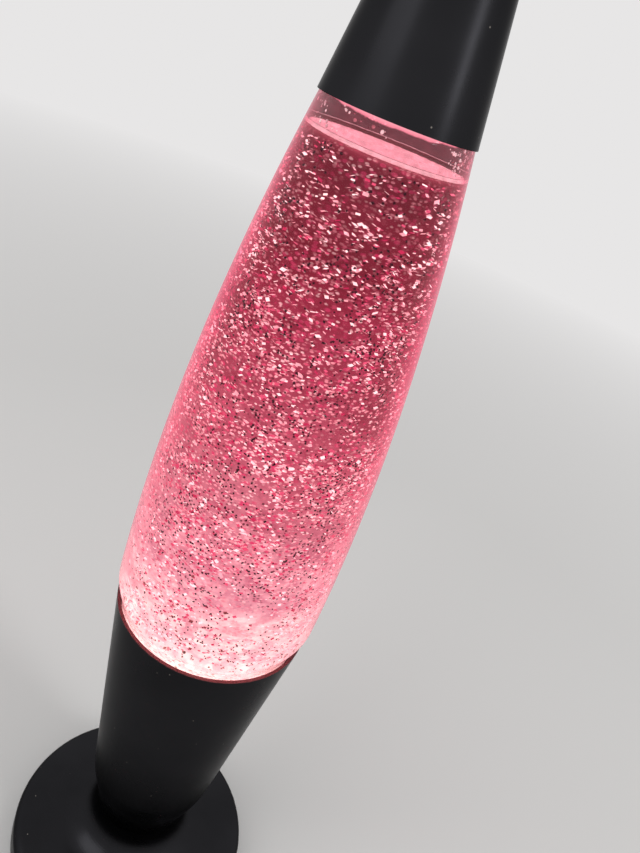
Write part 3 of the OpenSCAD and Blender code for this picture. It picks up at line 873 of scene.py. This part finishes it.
class LAMP_OT_cap(bpy.types.Operator):
    """Finish the metal cone cap"""

    bl_idname = "lamp.cap"
    bl_label = "Cap"

    def execute(self, context):
        paint(gunmetal(context.scene.lamp_metal), "cap_shell")
        return {"FINISHED"}


class LAMP_OT_bottle(bpy.types.Operator):
    """Blow the glass bottle, with its lip and its wall, misted above the liquid"""

    bl_idname = "lamp.bottle"
    bl_label = "Bottle"

    def execute(self, context):
        bottle = context.scene.lamp_bottle
        outside = bottle_outline(context.scene.lamp_metal, bottle)
        lip, level = top_of("bottle_glass"), top_of("liquid_fill")
        inside = cut_at(moved_in(outside, bottle.glass_wall), level)
        lip_foot = lip - bottle.lip_height
        ring = outline([
            (bottle.neck_radius, lip_foot - bottle.slope_low),
            (bottle.lip_radius, lip_foot + bottle.slope_high, bottle.slope_round),
            (bottle.lip_radius, lip, bottle.lip_round),
            (bottle.neck_radius - bottle.lip_round, lip),
        ])
        bm = spun(outside[:-1] + ring + [Vector((inside[-1].x, lip))] + inside[-2::-1])
        skins = [bottle_glass(bottle, True), wet_glass(), misted_glass(bottle), bottle_glass(bottle, False)]
        filled, wet, misted, empty = range(len(skins))
        for f in bm.faces:
            middle = f.calc_center_median()
            above = middle.z > level
            within = middle.xy.length < radius_at(outside, middle.z) - bottle.glass_wall / 2
            if within and middle.z < lip_foot:
                f.material_index = misted if above else wet
            else:
                f.material_index = empty if above else filled
        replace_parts(piece("bottle", mesh_of("bottle", bm), "bottle", skins), "bottle_glass")
        return {"FINISHED"}


class LAMP_OT_liquid(bpy.types.Operator):
    """Fill the bottle with clear dyed liquid round a lit heart"""

    bl_idname = "lamp.liquid"
    bl_label = "Liquid"

    def execute(self, context):
        scene = context.scene
        bottle, liquid = scene.lamp_bottle, scene.lamp_liquid
        outside = bottle_outline(scene.lamp_metal, bottle)
        level = top_of("liquid_fill")
        wall = moved_in(outside, bottle.glass_wall + liquid.film)
        rim = self.rim(radius_at(wall, level + liquid.meniscus), level, liquid)
        self.skin(wall, rim, level, liquid)
        self.edge(rim, level)
        self.heart(outside, level, bottle, liquid)
        return {"FINISHED"}

    def rim(self, edge, level, liquid, steps=8, crowding=1.5, fall=3.2):
        """Line of the liquid's surface from the glass down to its level, with closer points at the glass."""
        parts = [k / steps for k in range(steps + 1)]
        out = [edge - liquid.meniscus_width * p**crowding for p in parts]
        up = [level + liquid.meniscus * math.exp(-fall * p) * (1 - p) for p in parts]
        return [Vector(pair) for pair in zip(out, up)]

    def skin(self, wall, rim, level, liquid, close=0.05 * MM, creep=0.02 * MM):
        """Outside of the liquid, which creeps up the glass at its edge, and its lit surface."""
        bm = spun([p for p in wall if p.y < level] + rim + [Vector((0, level))])
        dim = meniscus("dim meniscus", (0.16, 0.05, 0.06), (0.26, 0.09, 0.10), 1.0)
        parts = [clear_liquid(liquid), liquid_top(), dim]
        outside, surface, edge = range(len(parts))
        for f in bm.faces:
            middle = f.calc_center_median()
            f.material_index = outside
            if middle.z > level - SAME_PLACE and middle.xy.length < rim[0].x - close:
                f.material_index = edge if middle.z > level + creep else surface
        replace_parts(piece("liquid", mesh_of("liquid", bm), "bottle", parts), "liquid_fill")

    def edge(self, rim, level, gap=0.03 * MM):
        """Lit ring just under the creeping edge of the liquid, where it meets the glass."""
        most = rim[0].x - gap
        under = [Vector((min(p.x + gap, most), p.y - 2 * gap)) for p in rim if p.y - 2 * gap > level]
        under += [Vector((under[-1].x, level)), Vector((most, level))]
        bm = spun(under + under[:1])
        bmesh.ops.remove_doubles(bm, verts=bm.verts, dist=SAME_PLACE)
        lit = meniscus("lit meniscus", (0.95, 0.80, 0.78), (1.0, 1.0, 0.95), 2.7)
        piece("liquid_edge", mesh_of("liquid_edge", bm), "bottle", [lit])

    def heart(self, outside, level, bottle, liquid, steps=8):
        """Lit inner part of the liquid, a smaller bottle shape with a rounded upper edge."""
        low = bottom_of("bottle_glass") + bottle.punt + 2 * bottle.glass_wall
        high, dome = level - liquid.heart_depth, liquid.heart_dome
        points = [Vector((radius_at(outside, low), low))] + [p for p in outside if low < p.y < high - dome]
        points = [Vector((liquid.glow_share * p.x, p.y)) for p in points]
        rim = points[-1]
        for k in range(1, steps):
            a = math.pi / 2 * k / steps
            points.append(Vector((rim.x - dome * (1 - math.cos(a)), rim.y + (high - rim.y) * math.sin(a))))
        bm = spun([Vector((0, low))] + points + [Vector((0, high))])
        piece("lit_liquid", mesh_of("lit_liquid", bm), "bottle", [lit_liquid()])


# Clouds of glitter: mean chance of a flake, then number of clouds along a metre with their strength
CLOUD_MEAN = 0.55
CLOUDS = [(45, 0.7), (170, 0.6)]
# Glitter at the liquid's lower and upper end: part that is left there, and height over which it grows by 1
THIN_LOW = (0.45, 70 * MM)
THIN_HIGH = (0.28, 75 * MM)
# Room between a flake's middle and the lit heart or the glass, as a part of the flake width
HEART_ROOM, GLASS_ROOM = 0.4, 0.5
# Parts of the liquid's height: the lit part over the bulb ends and the part near the surface starts
LIT_END = 0.36
TOP_START = 0.82
# Patches of dark flakes: number along a metre, strength, least part that is left, shift from the clouds
DARK_PATCHES, DARK_STRENGTH, DARK_LEAST = 70, 2.2, 0.1
DARK_SHIFT = Vector((3, 5, 7))
# Width of dark and bright flakes as a part of the flake width, and power that keeps most bright ones small
DARK_SIZE = (0.42, 0.62)
BRIGHT_SIZE = (0.5, 1.25)
MOSTLY_SMALL = 1.5
# How much smaller flakes are over the bulb, and how much larger near the surface
SMALLER_LIT, LARGER_TOP = 0.28, 0.15
# Length of a flake as a part of its own width, and its number of faces
FLAKE_LENGTH = (1.0, 1.4)
FLAKE_FACES = 8


class LAMP_OT_glitter(bpy.types.Operator):
    """Scatter the glitter through the liquid"""

    bl_idname = "lamp.glitter"
    bl_label = "Glitter"

    def execute(self, context):
        scene = context.scene
        bottle, liquid = scene.lamp_bottle, scene.lamp_liquid
        draw = random.Random(liquid.seed)
        flakes = self.places(draw, bottle_outline(scene.lamp_metal, bottle), bottle, liquid)
        verts, faces, kinds = [], [], []
        for place, far, rise in flakes:
            lit = max(0.0, 1 - rise / LIT_END)
            top = max(0.0, (rise - TOP_START) / (1 - TOP_START))
            kind = draw.choices(range(len(FOILS)), self.chances(place, rise, lit, top))[0]
            scale = 1 - SMALLER_LIT * lit + LARGER_TOP * top
            self.flake(draw, liquid, place, far, kind == DARK_FOIL, scale, verts, faces)
            kinds += [kind] * FLAKE_FACES
        mesh = bpy.data.meshes.new("glitter")
        mesh.from_pydata(verts, [], faces)
        mesh.polygons.foreach_set("material_index", kinds)
        obj = piece("glitter", mesh, "bottle", [foil(*f) for f in FOILS])
        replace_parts(obj, "glitter_flakes")
        return {"FINISHED"}

    def places(self, draw, outside, bottle, liquid, surface_room=2 * MM):
        """Each flake's place, the radius of the glass there, and its height as a part of the liquid's."""
        low = bottom_of("bottle_glass") + bottle.punt + 3 * bottle.glass_wall
        high = top_of("liquid_fill") - surface_room
        flakes = []
        while len(flakes) < liquid.flakes:
            z = draw.uniform(low, high)
            most = radius_at(outside, z)
            near, far = liquid.glow_share * most, most - bottle.glass_wall
            r = draw.uniform(near + HEART_ROOM * liquid.flake_width, far - GLASS_ROOM * liquid.flake_width)
            turn = draw.uniform(0, 2 * math.pi)
            place = Vector((r * math.cos(turn), r * math.sin(turn), z))
            thick = CLOUD_MEAN
            for number, part in CLOUDS:
                thick += part * noise.noise(place * number)
            thin = [left + up / span for up, (left, span) in ((z - low, THIN_LOW), (high - z, THIN_HIGH))]
            if draw.random() < thick * min(1.0, *thin):
                flakes.append((place, far, (z - low) / (high - low)))
        return flakes

    def chances(self, place, rise, lit, top):
        """How often each foil is drawn at a place, in the order of FOILS."""
        patch = max(DARK_LEAST, 1 + DARK_STRENGTH * noise.noise(place * DARK_PATCHES + DARK_SHIFT))
        spark = 1.7 - 0.6 * rise + 0.9 * lit + 1.7 * top
        pale = 2.4 + top
        rose = 1.1 * (1 - lit)
        crimson = (0.5 + 0.4 * rise) * (1 - lit)
        russet = 2.2 * lit
        dark = patch * (2.6 - 1.7 * lit)
        return [spark, pale, rose, crimson, russet, dark]

    def flake(self, draw, liquid, place, far, dark, scale, verts, faces):
        """Adds one four-sided flake, thin at its edge: bright ones lie nearly flat, dark ones stand."""
        small, large = BRIGHT_SIZE
        part = draw.uniform(*DARK_SIZE) if dark else small + (large - small) * draw.random() ** MOSTLY_SMALL
        size = scale * liquid.flake_width / 2 * part
        tilt = Vector((draw.gauss(0, 1), draw.gauss(0, 1), draw.gauss(0, 1))).normalized()
        even = Vector((place.x, place.y, 0)).normalized() if dark else Vector((0, 0, 1))
        face = (even * liquid.order + tilt).to_track_quat("Z", "Y").to_matrix()
        turn, long = draw.uniform(0, math.pi), size * draw.uniform(*FLAKE_LENGTH)
        place.xy *= min(1.0, (far - liquid.film - long) / place.xy.length)
        corner = Matrix.Rotation(turn, 3, "Z")
        edge = [corner @ Vector(v) for v in ((long, 0, 0), (0, size, 0), (-long, 0, 0), (0, -size, 0))]
        half = Vector((0, 0, liquid.flake_thickness / 2))
        start = len(verts)
        verts += [place + face @ v for v in (*edge, half, -half)]
        for k in range(4):
            a, b = start + k, start + (k + 1) % 4
            faces += [(a, b, start + 4), (b, a, start + 5)]


# Dew: radius of the drops, number in a cluster, spread of a cluster round the bottle in radians, and up
DROP_SIZES = [size * MM for size in (0.16, 0.2, 0.26, 0.34, 0.5)]
CLUSTER = (2, 9)
SPREAD_ROUND = 0.09
SPREAD_UP = 1.2 * MM
# Room between the dew and the liquid or the cap's edge
LIQUID_ROOM, CAP_ROOM = 2 * MM, 1 * MM
# Drop as a part of its radius: length up the glass, depth, and how far its middle stands in from the glass
DROP_LENGTH = (1.0, 1.35)
DROP_DEPTH, DROP_STAND = 0.5, 0.1
# Part of the drops that is bright
BRIGHT_DROPS = 0.5


class LAMP_OT_dew(bpy.types.Operator):
    """Bead the glass above the liquid with dew"""

    bl_idname = "lamp.dew"
    bl_label = "Dew"

    def execute(self, context):
        scene = context.scene
        bottle = scene.lamp_bottle
        draw = random.Random(scene.lamp_liquid.seed + 1)
        wall = moved_in(bottle_outline(scene.lamp_metal, bottle), bottle.glass_wall)
        low, high = top_of("liquid_fill") + LIQUID_ROOM, bottom_of("cap_shell") - CAP_ROOM
        bm = bmesh.new()
        made = 0
        while made < bottle.drops:
            turn, z = draw.uniform(0, 2 * math.pi), draw.uniform(low, high)
            for _ in range(min(draw.randint(*CLUSTER), bottle.drops - made)):
                a = turn + draw.gauss(0, SPREAD_ROUND)
                h = min(max(z + draw.gauss(0, SPREAD_UP), low), high)
                self.drop(bm, draw, a, h, radius_at(wall, h))
                made += 1
        drops = [dew("dim dew", (0.55, 0.16, 0.20), 0.35), dew("bright dew", (1.0, 0.62, 0.64), 0.5)]
        piece("dew", mesh_of("dew", bm), "bottle", drops)
        return {"FINISHED"}

    def drop(self, bm, draw, turn, z, radius):
        """Adds one flat drop to the inside of the glass, dim or bright."""
        size = draw.choice(DROP_SIZES)
        outward = Vector((math.cos(turn), math.sin(turn), 0))
        place = outward * (radius - DROP_STAND * size) + Vector((0, 0, z))
        turned = outward.to_track_quat("Z", "Y").to_matrix().to_4x4()
        flat = Matrix.Diagonal((size, size * draw.uniform(*DROP_LENGTH), DROP_DEPTH * size, 1))
        found = bmesh.ops.create_icosphere(
            bm, subdivisions=2, radius=1.0, matrix=Matrix.Translation(place) @ turned @ flat,
        )
        bright = int(draw.random() < BRIGHT_DROPS)
        for f in {f for v in found["verts"] for f in v.link_faces}:
            f.material_index = bright


# Lights of the studio: name, place, width, height, power. All point to one height on the lamp's axis
STUDIO_LIGHTS = [
    ("key", (-1.3, -1.0, 1.7), 1.6, 1.6, 14.0),
    ("strip", (1.2, -0.55, 1.3), 0.3, 1.25, 6.5),
]
LIT_HEIGHT = 0.25


class LAMP_OT_stage(bpy.types.Operator):
    """Set the camera, the floor and the light"""

    bl_idname = "lamp.stage"
    bl_label = "Stage"

    def execute(self, context):
        stage = context.scene.lamp_stage
        self.camera(context, stage)
        self.floor(context, stage)
        self.world(context, stage)
        self.lamps(context)
        context.scene.view_settings.view_transform = "Standard"
        return {"FINISHED"}

    def camera(self, context, stage):
        """Camera at the photograph's viewing angle."""
        p, a = stage.pitch, stage.pan
        roll = Matrix.Rotation(stage.roll, 3, "Z")
        down = roll @ Vector((0, math.cos(p), math.sin(p)))
        ahead = roll @ Vector((math.sin(a), -math.sin(p) * math.cos(a), math.cos(p) * math.cos(a)))
        # Rows are the lamp's X, Y and Z as the camera sees them: right, down and ahead
        turn = Matrix((down.cross(ahead), ahead, -down)) @ Matrix.Diagonal((1, -1, -1))
        data = bpy.data.cameras.new("camera")
        data.sensor_width = 36.0
        data.lens = stage.focal_pixels * data.sensor_width / PICTURE_HEIGHT
        data.clip_start, data.clip_end = 0.01, 100.0
        cam = bpy.data.objects.new("camera", data)
        context.scene.collection.objects.link(cam)
        place = Matrix.Translation((0, -stage.camera_distance, stage.camera_height))
        cam.matrix_world = place @ turn.to_4x4()
        context.scene.camera = cam

    def floor(self, context, stage, gap=0.1 * MM):
        """Pale round floor, a little below the lamp's foot."""
        bm = bmesh.new()
        bmesh.ops.create_circle(bm, cap_ends=True, segments=96, radius=stage.floor_radius)
        mesh = mesh_of("floor", bm)
        mesh.materials.append(pale_floor(stage))
        obj = bpy.data.objects.new("floor", mesh)
        obj.location.z = -gap
        context.scene.collection.objects.link(obj)

    def world(self, context, stage):
        """Even light, with the backdrop's colour where it is seen, mirrored or looked at through glass."""
        world = bpy.data.worlds.new("studio")
        context.scene.world = world
        world.use_nodes = True
        nodes, links = world.node_tree.nodes, world.node_tree.links
        nodes.remove(nodes["Background"])
        path, mix = nodes.new("ShaderNodeLightPath"), nodes.new("ShaderNodeMixShader")
        seen = path.outputs["Is Camera Ray"]
        for other in ("Is Glossy Ray", "Is Transmission Ray"):
            either = nodes.new("ShaderNodeMath")
            either.operation = "MAXIMUM"
            links.new(seen, either.inputs[0])
            links.new(path.outputs[other], either.inputs[1])
            seen = either.outputs[0]
        links.new(seen, mix.inputs[0])
        for k, tone, strength in ((1, (1, 1, 1), stage.even_light), (2, stage.backdrop, 1.0)):
            light = nodes.new("ShaderNodeBackground")
            light.inputs["Color"].default_value = (*tone, 1.0)
            light.inputs["Strength"].default_value = strength
            links.new(light.outputs[0], mix.inputs[k])
        links.new(mix.outputs[0], nodes["World Output"].inputs["Surface"])

    def lamps(self, context):
        """Soft key from the left, and a tall narrow light from the right for the metal's bright band."""
        for name, place, width, height, power in STUDIO_LIGHTS:
            data = bpy.data.lights.new(name, "AREA")
            data.shape = "RECTANGLE"
            data.size, data.size_y, data.energy = width, height, power
            lamp = bpy.data.objects.new(name, data)
            lamp.location = place
            ahead = Vector((0, 0, LIT_HEIGHT)) - Vector(place)
            lamp.rotation_euler = ahead.to_track_quat("-Z", "Y").to_euler()
            context.scene.collection.objects.link(lamp)


class LAMP_PT_panel(bpy.types.Panel):
    """Sidebar panel of the lamp's settings and pieces"""

    bl_idname = "LAMP_PT_panel"
    bl_label = "Motion lamp"
    bl_space_type = "VIEW_3D"
    bl_region_type = "UI"
    bl_category = "Motion lamp"

    def draw(self, context):
        for name in SETTINGS:
            group = getattr(context.scene, name)
            box = self.layout.box()
            for key in group.bl_rna.properties.keys():
                if key not in ("rna_type", "name"):
                    box.prop(group, key)
        for op in OPERATORS:
            self.layout.operator(op.bl_idname)


SETTINGS = {
    "lamp_metal": LampMetalSettings,
    "lamp_inside": LampInsideSettings,
    "lamp_bottle": LampBottleSettings,
    "lamp_liquid": LampLiquidSettings,
    "lamp_stage": LampStageSettings,
}
OPERATORS = [
    LAMP_OT_base, LAMP_OT_foot, LAMP_OT_holder, LAMP_OT_bulb, LAMP_OT_closure, LAMP_OT_cap,
    LAMP_OT_bottle, LAMP_OT_liquid, LAMP_OT_glitter, LAMP_OT_dew, LAMP_OT_stage,
]


def register():
    for cls in (*SETTINGS.values(), *OPERATORS, LAMP_PT_panel):
        bpy.utils.register_class(cls)
    for name, cls in SETTINGS.items():
        setattr(bpy.types.Scene, name, bpy.props.PointerProperty(type=cls))


def unregister():
    for name in SETTINGS:
        delattr(bpy.types.Scene, name)
    for cls in reversed((*SETTINGS.values(), *OPERATORS, LAMP_PT_panel)):
        bpy.utils.unregister_class(cls)


def main():
    register()
    for op in OPERATORS:
        group, name = op.bl_idname.split(".")
        getattr(getattr(bpy.ops, group), name)()


if __name__ == "__main__":
    main()
